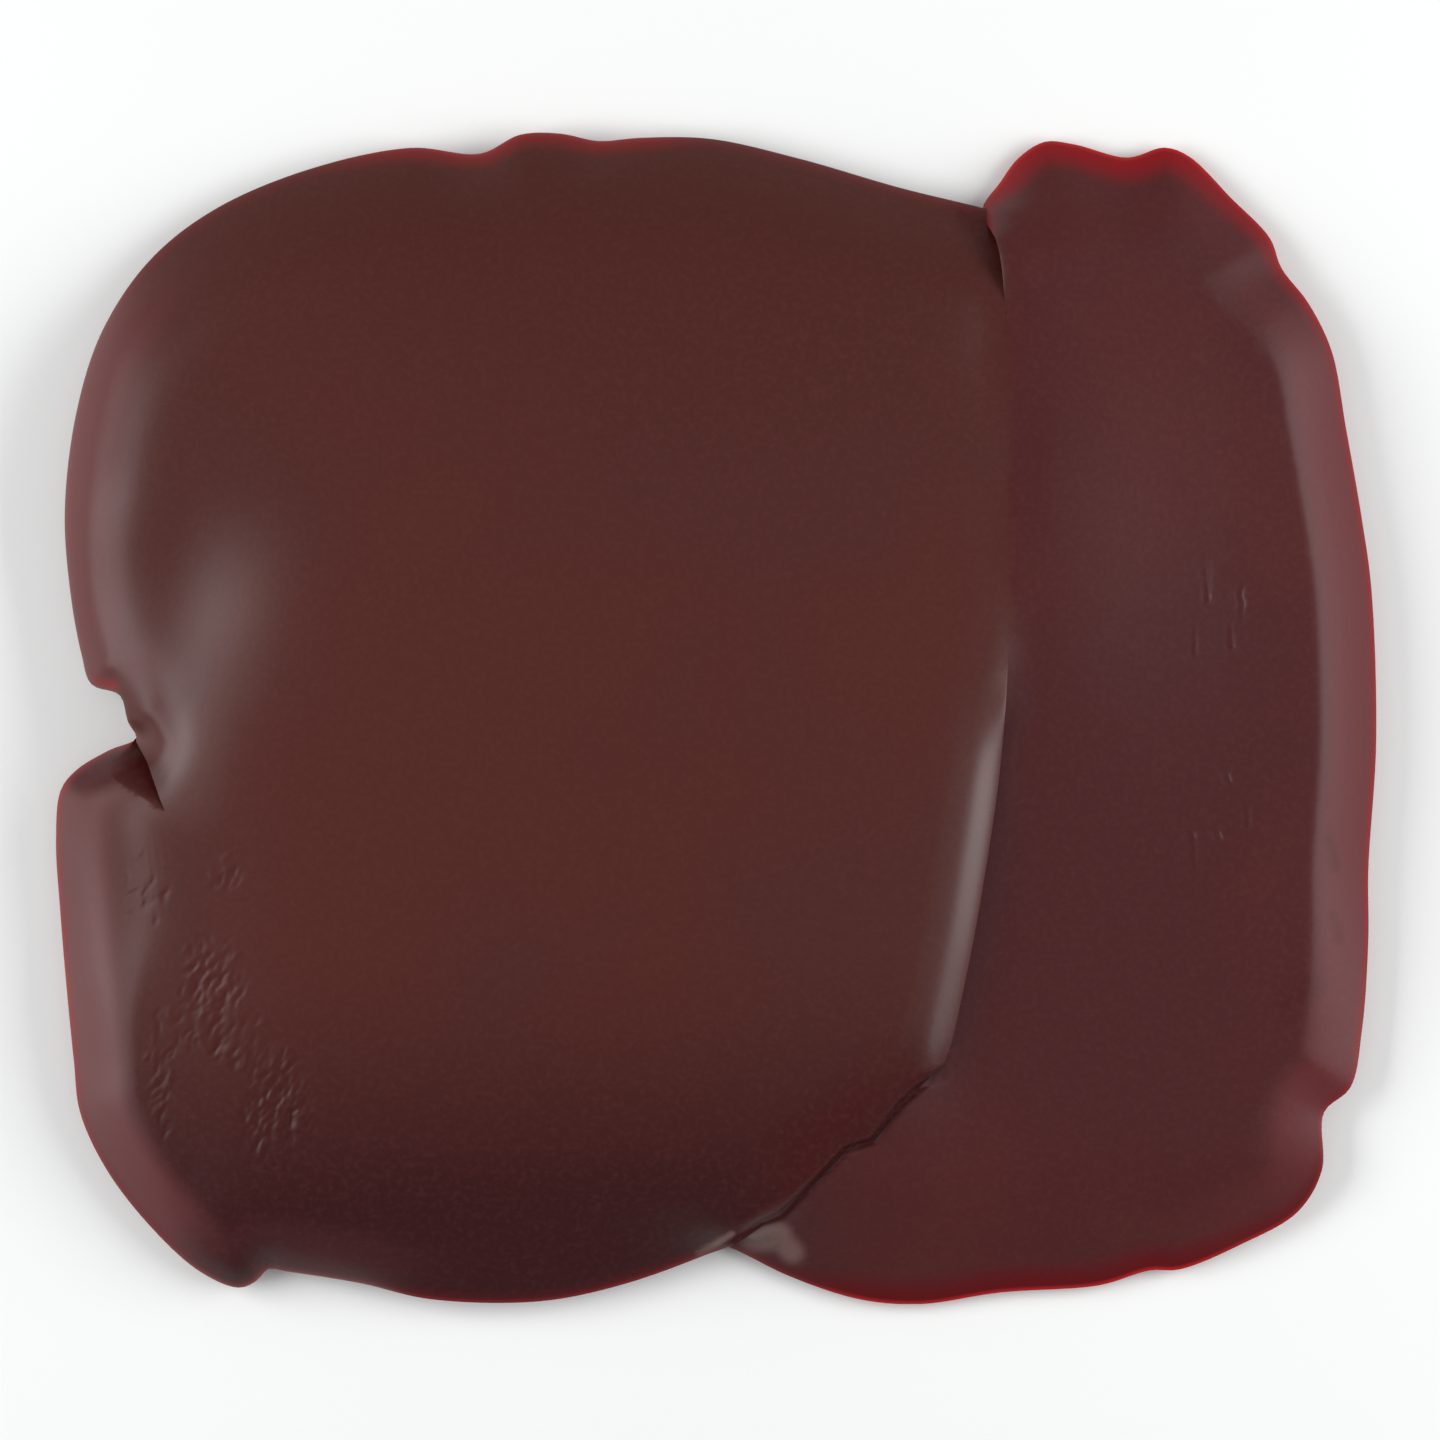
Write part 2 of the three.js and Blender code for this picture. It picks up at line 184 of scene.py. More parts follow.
def draw_rim(outline, spacing=RIM_SPACING):
    marks = [(kind, mark) for kind, *run in outline for mark in run]
    at, sizes = [], {name: [] for name in SIZES}
    for i, (kind, mark) in enumerate(marks):
        around = [marks[(i + step) % len(marks)][1] for step in (-1, 0, 1, 2)]
        following = marks[(i + 1) % len(marks)][0]
        steps = max(1, round(math.dist(around[1], around[2]) / spacing))
        t = np.arange(steps) / steps
        at.append(between(*around, t))
        for name in SIZES:
            sizes[name].append(blend(RIMS[kind][name], RIMS[following][name], ease(t, 0, 1)))
    return dict(at=np.concatenate(at), **{name: np.concatenate(runs) for name, runs in sizes.items()})


main_rim, right_rim, core_rim = map(draw_rim, (MAIN_RIM, RIGHT_RIM, CORE_RIM))
print("rim points:", len(main_rim["at"]), len(right_rim["at"]), len(core_rim["at"]))

# %% [markdown]
# ## The relief
#
# A lobe's top is a low crown that rolls down to the rim. How it rolls depends on the rim nearby, and the
# kinds pass into each other more widely the farther in a point lies. Swells are the broad rises and dips
# that the light shows on soft meat. All of it is one height for each point of the plan, so any mesh can be
# laid on it.

# %% Describe the lobes
# centre, reach along x and y, height
MAIN_SWELLS = [
    (-106, 24, 19, 16, -5),
    (-115, 2, 17, 18, -4),
    (-118, -60, 26, 48, -4),
    (52, 86, 16, 18, -1),
]
RIGHT_SWELLS = [
    (56, 34, 30, 40, 5.5),
    (53, 96, 14, 16, 1.5),
    (20, -86, 14, 14, 2.5),
    (35, -74, 9, 9, 2),
    (10, -97, 9, 8, 3.5),
]
CORE_SWELLS = [(55, 64, 12, 14, 6)]
# fall is how much lower the top is 100 mm from the middle: to the left, the right, the front and the back.
# tilt is how much the top rises along x in 100 mm.
main = dict(rim=main_rim, thickness=28, fall=(8, 6, 12, 10), tilt=0, swells=MAIN_SWELLS, x=-30, reach=0)
right = dict(rim=right_rim, thickness=15.5, fall=(0, 0, 9, 4), tilt=-8, swells=RIGHT_SWELLS, x=84, reach=60)
core = dict(rim=core_rim, thickness=10, fall=(0, 0, 6, 0), tilt=-4, swells=CORE_SWELLS, x=50, reach=0)
print("thickness of the lobes and the core:", [lobe["thickness"] for lobe in (main, right, core)], "mm")

# %% Measure from the rim
# how widely the kinds of rim pass into each other: at the rim, and for each millimetre farther in
RIM_BLEND = 2.5
BLEND_GROWTH = 0.35
# farther in than this the rim has no say
RIM_SAY = 40
# a first rough distance goes to every fifth point of the rim, in parts that fit the memory
ROUGH_STEP = 5
ROUGH_PARTS = 30
BATCH = 3000


def near_rim(rim, points):
    """How far each point lies from the rim, and the sizes of the rim nearest to it."""
    a = rim["at"]
    side = np.roll(a, -1, 0) - a
    rough = a[::ROUGH_STEP]
    parts = np.array_split(points, ROUGH_PARTS)
    gaps = (np.hypot(*(part[:, None] - rough).transpose(2, 0, 1)) for part in parts)
    distance = np.concatenate([gap.min(1) for gap in gaps])
    found = {name: np.full(len(points), rim[name].mean()) for name in SIZES}
    found["distance"] = distance
    nearby = np.flatnonzero(distance < RIM_SAY)
    for some in np.array_split(nearby, len(nearby) // BATCH + 1):
        gx, gy = (points[some, axis][:, None] - a[:, axis] for axis in (0, 1))
        along = np.clip((gx * side[:, 0] + gy * side[:, 1]) / (side**2).sum(1), 0, 1)
        gap = np.hypot(gx - along * side[:, 0], gy - along * side[:, 1])
        closest = gap.min(1)
        weight = np.exp((closest[:, None] - gap) / (RIM_BLEND + BLEND_GROWTH * closest[:, None]))
        behind, ahead = weight * (1 - along), weight * along
        distance[some] = closest
        for name in SIZES:
            found[name][some] = (behind @ rim[name] + ahead @ np.roll(rim[name], -1)) / weight.sum(1)
    return found


# %% Shape the tops
# the two powers of a flank's curve, each for a flat slope and for a full curve
INNER_POWER = (1.15, 2.2)
OUTER_POWER = (0.95, 0.7)
# rims less rounded than this keep their crisp flanks
CRISP_ROUND = (0.22, 0.34)
CRISPNESS = 0.85
# from where to where inwards the softer height takes over
SOFT_FROM_RIM = (3, 10)


def crown(lobe, x, y):
    """The height of a lobe's top away from its rim."""
    reaches = (lobe["x"] - x, x - lobe["x"], -y, y)
    z = lobe["thickness"] + lobe["tilt"] * (x - lobe["x"]) / 100
    z = z - sum(fall * (np.maximum(reach, 0) / 100) ** 2 for fall, reach in zip(lobe["fall"], reaches))
    swells = [
        height * np.exp(-(((x - cx) / rx) ** 2) - ((y - cy) / ry) ** 2)
        for cx, cy, rx, ry, height in lobe["swells"]
    ]
    return z + sum(swells)


def shoulder(share, roundness):
    """Share of the full height at a share of the flank's width."""
    rolled = 1 - (1 - np.minimum(share, 1)) ** blend(*INNER_POWER, roundness)
    return rolled ** blend(*OUTER_POWER, roundness)


def rim_height(lobe, points, near):
    """A rim that hangs is measured down from the crown, and a free one up from the floor."""
    return blend(near["rise"], crown(lobe, *points.T) - near["rise"], near["hang"])


def top_height(lobe, points, near=None):
    """The height of a lobe's top, from the rim in."""
    near = near or near_rim(lobe["rim"], points)
    rise = rim_height(lobe, points, near)
    rolled = shoulder(near["distance"] / near["flank"], near["round"])
    height = rise + (crown(lobe, *points.T) - rise) * rolled
    if "soft" in lobe:
        crisp = 1 - ease(near["round"], *CRISP_ROUND)
        softness = ease(near["distance"], *SOFT_FROM_RIM) * (1 - CRISPNESS * crisp)
        height = blend(height, lobe["soft"](*points.T), softness)
    return height


for name, lobe in dict(main=main, right=right).items():
    print(name, "lobe's top over its middle:", round(float(crown(lobe, lobe["x"], 0)), 1), "mm")

# %% Shape the undersides
# a rim up to FREE_EDGE high is rounded all the way, and from HIGH_EDGE on only over OVERHANG_RADIUS
FREE_EDGE = 6
HIGH_EDGE = 12
OVERHANG_RADIUS = 3.4
OVERHANG_REACH = 9
# the rounding goes on this far below the floor and is cut flat there
SAG = 0.4


def under_height(lobe, points):
    """The height of a lobe's underside: rounded at the rim, flat on the floor farther in."""
    near = near_rim(lobe["rim"], points)
    rise, distance = rim_height(lobe, points, near), near["distance"]
    radius = blend(rise, OVERHANG_RADIUS, ease(rise, FREE_EDGE, HIGH_EDGE))
    sunk = radius + SAG
    rounding = np.sqrt(1 - (1 - np.minimum(distance / sunk, 1)) ** 2)
    fall = (rise - radius) * ease(distance, radius / 2, OVERHANG_REACH)
    return np.maximum(0, rise - sunk * rounding - fall)


# %% [markdown]
# ## Softer tops
#
# Where the rim bends sharply, a ridge would run in from it across the top, as on a hipped roof. Soft meat
# has no such ridges. Each top is worked out once on a grid and averaged with what lies around, and away
# from the rim the averaged height is used.

# %% Soften the tops
SOFT_STEP = 1.5
SOFT_SPREAD = 3.6


def averaged(height_of, area, step, spread):
    """The heights on a grid, each averaged with what lies around it, as a function of x and y."""
    (x0, x1), (y0, y1) = area
    x, y = np.meshgrid(np.arange(x0, x1 + step, step), np.arange(y0, y1 + step, step))
    height = height_of(np.stack([x.ravel(), y.ravel()], 1)).reshape(x.shape)
    steps_off = np.arange(-3 * spread, 3 * spread + step, step)
    kernel = np.exp(-0.5 * (steps_off / spread) ** 2)
    kernel /= kernel.sum()
    before, after = len(kernel) // 2, len(kernel) - 1 - len(kernel) // 2
    for axis in (0, 1):
        wide = np.pad(height, [(before, after) if a == axis else (0, 0) for a in (0, 1)], mode="edge")
        height = np.apply_along_axis(lambda line: np.convolve(line, kernel, mode="valid"), axis, wide)

    def at(px, py):
        u = np.clip((px - x0) / step, 0, height.shape[1] - 1.001)
        v = np.clip((py - y0) / step, 0, height.shape[0] - 1.001)
        i, j = u.astype(int), v.astype(int)
        u, v = u - i, v - j
        near, far = (blend(height[j + k, i], height[j + k, i + 1], u) for k in (0, 1))
        return blend(near, far, v)

    return at


for lobe in (main, right):
    area = list(zip(lobe["rim"]["at"].min(0), lobe["rim"]["at"].max(0)))
    lobe["soft"] = averaged(lambda points: top_height(lobe, points), area, SOFT_STEP, SOFT_SPREAD)
print("softened the tops of two lobes")

# %% [markdown]
# ## Rolling up a lobe
#
# A lobe could be a sphere pressed flat, but its faces would crowd at the poles and cross the rim at odd
# angles. A flat grid does better: its columns go round the rim, and its rows go from the middle of the
# underside out, over the rim and in again across the top. Merging the points that fall together closes the
# roll.

# %% Roll up a grid


def only(*objects):
    """Deselects everything, then selects these objects, the first of them active."""
    if bpy.context.object and bpy.context.object.mode != "OBJECT":
        bpy.ops.object.mode_set(mode="OBJECT")
    bpy.ops.object.select_all(action="DESELECT")
    for piece in objects:
        piece.select_set(True)
    bpy.context.view_layer.objects.active = objects[0]


def roll_up(name, rows):
    """A closed piece from rows of points, each row once round."""
    bpy.ops.object.select_all(action="DESELECT")
    columns = len(rows[0])
    bpy.ops.mesh.primitive_grid_add(x_subdivisions=columns, y_subdivisions=len(rows) - 1, size=1)
    piece = bpy.context.object
    piece.name = name
    flat = np.empty(len(piece.data.vertices) * 3)
    piece.data.vertices.foreach_get("co", flat)
    flat = flat.reshape(-1, 3) - flat.reshape(-1, 3).min(0)
    column = np.rint(flat[:, 0] / flat[:, 0].max() * columns).astype(int) % columns
    row = np.rint(flat[:, 1] / flat[:, 1].max() * (len(rows) - 1)).astype(int)
    places = np.array(rows)[row, column] * MM
    piece.data.vertices.foreach_set("co", places.ravel())
    bpy.ops.object.mode_set(mode="EDIT")
    bpy.ops.mesh.select_all(action="SELECT")
    bpy.ops.mesh.remove_doubles(threshold=0.000002)
    bpy.ops.mesh.normals_make_consistent(inside=False)
    bpy.ops.object.mode_set(mode="OBJECT")
    return piece


# %% Roll up the lobes
TOP_ROWS = 56
UNDER_ROWS = 12
UNDER_REACH = 0.15
# the higher the power, the closer the rows lie to the rim
TOP_CROWDING = 1.7
UNDER_CROWDING = 2
# the columns end at points along a lobe's middle, each this share as far from the centre as it starts
MIDDLE_SHARE = 0.7
MIDDLE_SPACING = 10


def roll_lobe(name, lobe):
    """Rows of points from the middle of the underside, over the rim, to the middle of the top."""
    rim = lobe["rim"]["at"]
    middle = np.clip(rim[:, 1] * MIDDLE_SHARE, -lobe["reach"], lobe["reach"])
    target = np.stack([np.full(len(rim), lobe["x"]), np.rint(middle / MIDDLE_SPACING) * MIDDLE_SPACING], 1)
    under = [(1, None), (UNDER_REACH, None)]
    for k in range(UNDER_ROWS - 1, 0, -1):
        under.append(((k / UNDER_ROWS) ** UNDER_CROWDING * UNDER_REACH, under_height))
    over = [((k / TOP_ROWS) ** TOP_CROWDING, top_height) for k in range(TOP_ROWS + 1)]
    rows = []
    for inset, height in under + over:
        points = blend(rim, target, inset)
        rows.append(np.column_stack([points, height(lobe, points) if height else np.zeros(len(points))]))
    return roll_up(name, rows)


liver = roll_lobe("liver_meat", main)
right_piece = roll_lobe("right_lobe", right)
core_piece = roll_lobe("core", core)
print("faces rolled up:", [len(piece.data.polygons) for piece in (liver, right_piece, core_piece)])

# %% [markdown]
# ## The fissure
#
# From the notch at the left a short fissure runs in between the main lobe and its small lower corner. The
# upper side is a lip that leans over it and the lower side rounds down under that lip. A cutter of that
# shape is taken out of the lobe, as a knife would, because a pushed-in groove could never go in under the
# lip.

# %% Say where the fissure runs
# x, y and how deep the fissure is there
FISSURE = [
    (-113.6, 0.6, 5),
    (-110, -4.2, 6.5),
    (-107.4, -7.8, 6),
    (-106, -11.2, 4),
    (-104.8, -14.4, 1.8),
    (-103.6, -17.4, 0),
]
FISSURE_STEPS = 6


def along_path(path, steps):
    """More points on the spline through a path's points."""
    ends = [path[0], *path, path[-1]]
    t = np.arange(steps) / steps
    runs = [between(*ends[i : i + 4], t) for i in range(len(path) - 1)]
    return np.concatenate([*runs, [path[-1]]])


fissure_path = along_path(FISSURE, FISSURE_STEPS)
print("the fissure is", fissure_path[:, 2].max().round(1), "mm deep")

# %% Make its cutter
# how wide the lower side rounds down, the share of it at the shallow end, and from which depth it is full
FISSURE_SPREAD = 8
SPREAD_AT_END = 0.25
SPREAD_DEPTH = 7
FISSURE_ARC = 10
LIP_LEAN = 0.22
CUT_FLOOR = 3.8
CLEAR = 1


def fissure_rows(path, lobe):
    """A section of the cutter at each step along the fissure, and a pointed end before and after them."""
    heading = np.gradient(path[:, :2], axis=0)
    heading /= np.linalg.norm(heading, axis=1)[:, None]
    side = np.stack([-heading[:, 1], heading[:, 0]], 1)
    lips = top_height(lobe, path[:, :2])
    spreads = FISSURE_SPREAD * blend(SPREAD_AT_END, 1, ease(path[:, 2], 0, SPREAD_DEPTH))
    fars = top_height(lobe, path[:, :2] - spreads[:, None] * side)
    rows = []
    for place, across, lip, far, spread in zip(path, side, lips, fars, spreads):
        depth = max(place[2], 0)
        lip += 0 if depth > 0.05 else CLEAR
        bottom = max(lip - depth, CUT_FLOOR)
        far = max(far, bottom) + CLEAR / 4

        def put(offset, z):
            return [*(place[:2] + offset * across), z]

        shares = (np.arange(FISSURE_ARC) + 1) / FISSURE_ARC
        arc = [put(-spread * s, blend(bottom, far, math.sqrt(1 - (1 - s) ** 2))) for s in shares]
        ceiling = lobe["thickness"] + CLEAR
        lip = max(lip, bottom + 0.1)
        corners = [put(-spread, ceiling), put(0, ceiling), put(0, lip)]
        rows.append([put(LIP_LEAN * depth, bottom), *arc, *corners])
    rows = np.array(rows)
    outer = FISSURE_ARC + 1
    middles = [(rows[i, :1] + rows[i, outer : outer + 1]) / 2 for i in (0, -1)]
    first, last = (np.repeat(middle, rows.shape[1], 0) for middle in middles)
    return [first, *rows, last]


cutter = roll_up("fissure_cutter", fissure_rows(fissure_path, main))
print("faces of the cutter:", len(cutter.data.polygons))

# %% [markdown]
# ## One piece of meat
#
# The lobes are joined with Boolean modifiers rather than left lying in each other, because a real liver has
# one skin. Where they meet, the join leaves the sharp seam that the overhanging edge of the main lobe
# throws.

# %% Join the lobes and cut the fissure


def carve(piece, tool, operation):
    """Joins or cuts the piece with a tool, then deletes the tool."""
    only(piece)
    bpy.ops.object.modifier_add(type="BOOLEAN")
    change = piece.modifiers[-1]
    change.operation = operation
    change.solver = "MANIFOLD"
    change.object = tool
    bpy.ops.object.modifier_apply(modifier=change.name)
    only(tool)
    bpy.ops.object.delete()
    print(operation.lower(), "leaves", len(piece.data.polygons), "faces")


carve(liver, right_piece, "UNION")
carve(liver, core_piece, "UNION")
carve(liver, cutter, "DIFFERENCE")

# %% [markdown]
# ## Moving points after the join
#
# The join leaves one mesh of mixed faces, so what follows works on its points: they are read as an array in
# millimetres, moved by a formula and written back. Where a form is finer than the faces, the faces there
# are picked by their place and subdivided first, which keeps the rest of the mesh light.

# %% Read, write and subdivide


def read_points(piece):
    points = np.empty(len(piece.data.vertices) * 3)
    piece.data.vertices.foreach_get("co", points)
    return points.reshape(-1, 3) / MM


def write_points(piece, points):
    piece.data.vertices.foreach_set("co", (points * MM).ravel())
    piece.data.update()


def select_faces(piece, wanted):
    """Selects the faces whose centre, in millimetres, the function says yes to, and counts them."""
    only(piece)
    mesh = piece.data
    centres = np.empty(len(mesh.polygons) * 3)
    mesh.polygons.foreach_get("center", centres)
    chosen = wanted(*(centres.reshape(-1, 3).T / MM))
    mesh.vertices.foreach_set("select", np.zeros(len(mesh.vertices), bool))
    mesh.edges.foreach_set("select", np.zeros(len(mesh.edges), bool))
    mesh.polygons.foreach_set("select", chosen)
    return int(chosen.sum())


def refine(piece, wanted, cuts=3):
    count = select_faces(piece, wanted)
    bpy.ops.object.mode_set(mode="EDIT")
    bpy.ops.mesh.select_mode(type="FACE")
    bpy.ops.mesh.subdivide(number_cuts=cuts)
    bpy.ops.object.mode_set(mode="OBJECT")
    print("subdivided", count, "faces, now", len(piece.data.polygons))


# %% Measure from paths and outlines


def off_path(path, x, y):
    """How far each point lies from a path of straight pieces."""
    gaps = []
    for (ax, ay), (bx, by) in zip(path[:-1], path[1:]):
        dx, dy = bx - ax, by - ay
        t = np.clip(((x - ax) * dx + (y - ay) * dy) / (dx**2 + dy**2), 0, 1)
        gaps.append(np.hypot(x - ax - t * dx, y - ay - t * dy))
    return np.min(gaps, 0)


def inside_rim(rim, points):
    """Counts how many sides of the rim lie to the right of each point: an odd number means inside."""
    a = rim["at"]
    b = np.roll(a, -1, 0)
    within = np.zeros(len(points), bool)
    for (ax, ay), (bx, by) in zip(a, b):
        crosses = (ay > points[:, 1]) != (by > points[:, 1])
        if ay != by:
            within ^= crosses & (points[:, 0] < (bx - ax) * (points[:, 1] - ay) / (by - ay) + ax)
    return within


def joined_top(points):
    """The height of both lobes' tops together."""
    tops = [np.where(inside_rim(lobe["rim"], points), top_height(lobe, points), 0) for lobe in (main, right)]
    return np.maximum(*tops)


# %% [markdown]
# ## The soft seam
#
# In the upper half the two lobes have grown together and only a faint valley shows, but the join has left a
# sharp line there. A bevel would round the line and keep the step. Blending the heights near it into the
# averaged height of both lobes takes the step away as well.

# %% Soften the upper seam
SEAM = [(54.5, 84), (55, 70), (56, 58), (55.2, 47), (55.2, 26.5), (54.7, 7.5), (54, 0)]
SEAM_FULL, SEAM_REACH = 4, 9
SEAM_ABOVE = 12
# where along y the softening comes in, and where it goes out again
SEAM_IN, SEAM_OUT = (-2, 14), (78, 85)
SEAM_AREA = ((30, 85), (-20, 105))
SEAM_STEP, SEAM_SPREAD = 0.8, 2.4

soft_top = averaged(joined_top, SEAM_AREA, SEAM_STEP, SEAM_SPREAD)
points = read_points(liver)
x, y, z = points.T
share = 1 - ease(off_path(SEAM, x, y), SEAM_FULL, SEAM_REACH)
share = share * ease(y, *SEAM_IN) * (1 - ease(y, *SEAM_OUT)) * (z > SEAM_ABOVE)
points[:, 2] = blend(z, soft_top(x, y), share)
write_points(liver, points)
print("softened the seam at", int((share > 0.5).sum()), "points")

# %% [markdown]
# ## The crease in front
#
# In front the main lobe presses into the right one, and a dark line about a millimetre wide shows where
# they meet. The sharp join alone would look like a step, so the step is softened over a few millimetres and
# a narrow groove is sunk along its middle.

# %% Deepen the crease
CREASE = [
    (42.4, -66),
    (35, -72.4),
    (29.3, -79.6),
    (24.3, -81.1),
    (19, -86.8),
    (12.2, -93.7),
    (8.4, -95.2),
    (2, -100),
]
CREASE_FULL, CREASE_REACH = 1.8, 4.6
CREASE_ABOVE = 6
CREASE_IN, CREASE_OUT = (-100, -95), (-70, -66)
CREASE_AREA = ((-8, 52), (-108, -56))
CREASE_STEP, CREASE_SPREAD = 0.7, 1.8
FINE_FACES = 2.4
GROOVE_DEPTH = 0.9
GROOVE_WIDTH = 0.8

refine(liver, lambda x, y, z: (off_path(CREASE, x, y) < FINE_FACES) & (z > CREASE_ABOVE))
soft_front = averaged(joined_top, CREASE_AREA, CREASE_STEP, CREASE_SPREAD)
points = read_points(liver)
x, y, z = points.T
away = off_path(CREASE, x, y)
share = (1 - ease(away, CREASE_FULL, CREASE_REACH)) * (z > CREASE_ABOVE)
share = share * ease(y, *CREASE_IN) * (1 - ease(y, *CREASE_OUT))
groove = GROOVE_DEPTH * np.exp(-((away / GROOVE_WIDTH) ** 2))
points[:, 2] = blend(z, soft_front(x, y) - groove, share)
write_points(liver, points)
print("deepened the crease at", int((share > 0.5).sum()), "points")

# %% [markdown]
# ## Small puckers
#
# Near the lower left edge the thin skin has puckered into patches of short wavy dents. A bump map alone
# would look painted on from the side, so the faces there are subdivided and the points are moved: many
# small dents and a few ridges, each long and narrow and leaning much the same way.

# %% Say where the puckers lie
# the middle of a cluster, how far it spreads along x and y, how many puckers it has
CLUSTERS = [
    (-95, -49, 3.4, 4.4, 100),
    (-83, -73, 4, 6.2, 150),
    (-92.3, -29, 1.8, 2, 14),
    (-107.5, -32, 2.4, 4, 12),
    (-105, -69, 1.8, 5, 18),
    (-99, -58, 3.5, 3, 14),
    (-90, -60, 3, 3, 24),
]
CLUSTER_REACH = 2.3
CLUSTER_FADE = (0.75, 1)
PUCKER_ABOVE = 9
# a little more than the clusters is subdivided, so that their ends lie on fine faces too
FINE_REACH = 1.05


def off_clusters(x, y):
    """How far out each point lies in its nearest cluster: 0 is the middle, 1 the end of the reach."""
    gaps = [np.hypot((x - cx) / sx, (y - cy) / sy) for cx, cy, sx, sy, _ in CLUSTERS]
    return np.min(gaps, 0) / CLUSTER_REACH


refine(liver, lambda x, y, z: (off_clusters(x, y) < FINE_REACH) & (z > PUCKER_ABOVE))

# %% Pucker the skin
PUCKER_DEPTH = 0.12
# two puckers in three are dents, and the third is a lower ridge
PUCKER_KINDS = [-1, -1, 0.8]
# the least and the most
PUCKER_LENGTH, PUCKER_WIDTH = (1, 2.1), (0.36, 0.58)
# in degrees, and how much that differs from one to the next
PUCKER_LEAN, LEAN_SPREAD = 70, 20
# how far a pucker bends from side to side, and how quickly
PUCKER_WAVE, WAVE_TURN = 0.25, 1.4

chance = np.random.default_rng(4)
points = read_points(liver)
inside = np.flatnonzero((off_clusters(*points.T[:2]) < 1) & (points[:, 2] > PUCKER_ABOVE))
x, y = points[inside, :2].T
relief = np.zeros(len(inside))
for middle_x, middle_y, spread_x, spread_y, count in CLUSTERS:
    for _ in range(count):
        spot_x, spot_y = chance.normal(middle_x, spread_x), chance.normal(middle_y, spread_y)
        lean = math.radians(chance.normal(PUCKER_LEAN, LEAN_SPREAD))
        u = (x - spot_x) * math.cos(lean) + (y - spot_y) * math.sin(lean)
        v = -(x - spot_x) * math.sin(lean) + (y - spot_y) * math.cos(lean)
        v = v + PUCKER_WAVE * np.sin(u * WAVE_TURN + chance.random() * 6)
        length, width = chance.uniform(*PUCKER_LENGTH), chance.uniform(*PUCKER_WIDTH)
        height = PUCKER_DEPTH * chance.choice(PUCKER_KINDS)
        relief += height * np.exp(-((u / length) ** 2) - (v / width) ** 2)
relief *= 1 - ease(off_clusters(x, y), *CLUSTER_FADE)
points[inside, 2] += relief
write_points(liver, np.clip(points, lowest, highest))
print("deepest pucker", relief.min().round(2), "mm")

# %% [markdown]
# ## Scratches
#
# The right lobe has only a few short scratches that run away from the viewer, each a low ridge with a
# shallow dip on its left. They are so few that each one has its own place and length instead of a random
# one.

# %% Raise the scratches
# x, y and how long the scratch is
SCRATCHES = [
    (92.7, 23.7, 3.4),
    (99.3, 22.6, 4.5),
    (97.3, 14.8, 3.2),
    (90.4, 13.9, 1.5),
    (101.1, -6.8, 1.2),
    (96.7, -11.1, 1.9),
    (90.2, -22.4, 2.2),
    (95, -22, 1.8),
    (100.5, -18.9, 2.3),
]
SCRATCH_ABOVE = 5
SCRATCH_WIDTH = 0.42
SCRATCH_WAVE, SCRATCH_TURN = 0.2, 1.7
RIDGE_HEIGHT = 0.2
DIP_DEPTH = 0.08
DIP_OFFSET = 0.8
# how far beside a scratch and beyond its ends the faces are subdivided
FINE_BESIDE, FINE_BEYOND = 2, 1.5


def by_scratches(x, y, z):
    near = np.zeros(len(x), bool)
    for at_x, at_y, length in SCRATCHES:
        near |= (abs(x - at_x) < FINE_BESIDE) & (abs(y - at_y) < 0.5 * length + FINE_BEYOND)
    return near & (z > SCRATCH_ABOVE)


refine(liver, by_scratches)
points = read_points(liver)
x, y, z = points.T
for at_x, at_y, length in SCRATCHES:
    across = x - at_x + SCRATCH_WAVE * np.sin((y - at_y) * SCRATCH_TURN)
    ends = ((y - at_y) / (0.5 * length)) ** 4
    ridge = RIDGE_HEIGHT * np.exp(-((across / SCRATCH_WIDTH) ** 2) - ends)
    dip = DIP_DEPTH * np.exp(-(((across + DIP_OFFSET) / SCRATCH_WIDTH) ** 2) - ends)
    points[:, 2] += (ridge - dip) * (z > SCRATCH_ABOVE)
write_points(liver, points)
print("raised", len(SCRATCHES), "scratches")

# %% [markdown]
# ## Marks for the colour
#
# The colour follows the meat and the light on it: purple on the right lobe, painted red light where the rim
# is thin and light comes through it, painted shade in the folds. A pattern on coordinates alone wouldn't
# follow a rim, so each of these is worked out for every point and stored as an attribute of the mesh, which
# the material reads.

# %% Tell the lobes apart
# a point belongs to the lobe whose surface it lies nearer to
FAR_OFF = 50
ON_RIM = 0.05


def off_surface(lobe, points, near):
    """How far each point lies from a lobe's top, or FAR_OFF where it is outside the lobe."""
    within = inside_rim(lobe["rim"], points[:, :2]) | (near["distance"] < ON_RIM)
    return np.where(within, np.abs(points[:, 2] - top_height(lobe, points[:, :2], near)), FAR_OFF)


points = read_points(liver)
x, y, z = points.T
near_main = near_rim(main_rim, points[:, :2])
near_right = near_rim(right_rim, points[:, :2])
on_right = off_surface(right, points, near_right) < off_surface(main, points, near_main)
near = {name: np.where(on_right, near_right[name], near_main[name]) for name in [*SIZES, "distance"]}
print("points on the right lobe:", int(on_right.sum()), "of", len(points))

# %% Mark the rims and the lobes
LEAST_RIM_LIGHT = 0.02
# how far in from the rim a mark is full, and where it ends: the painted rim light in shares of its width
RIM_LIGHT_FADE = (0.1, 1)
EDGE_FADE = (0.2, 0.9)
FLANK_LIGHT_FADE = (7, 13)
# along the soft seam, between these y, the colour passes over gradually, between these x
SOFT_FRONT, SOFT_BACK = 0, 84
PASS_OVER = (54, 57)


def mark(piece, name, values):
    if name not in piece.data.attributes:
        piece.data.attributes.new(name, "FLOAT", "POINT")
    piece.data.attributes[name].data.foreach_set("value", values.astype(np.float32))


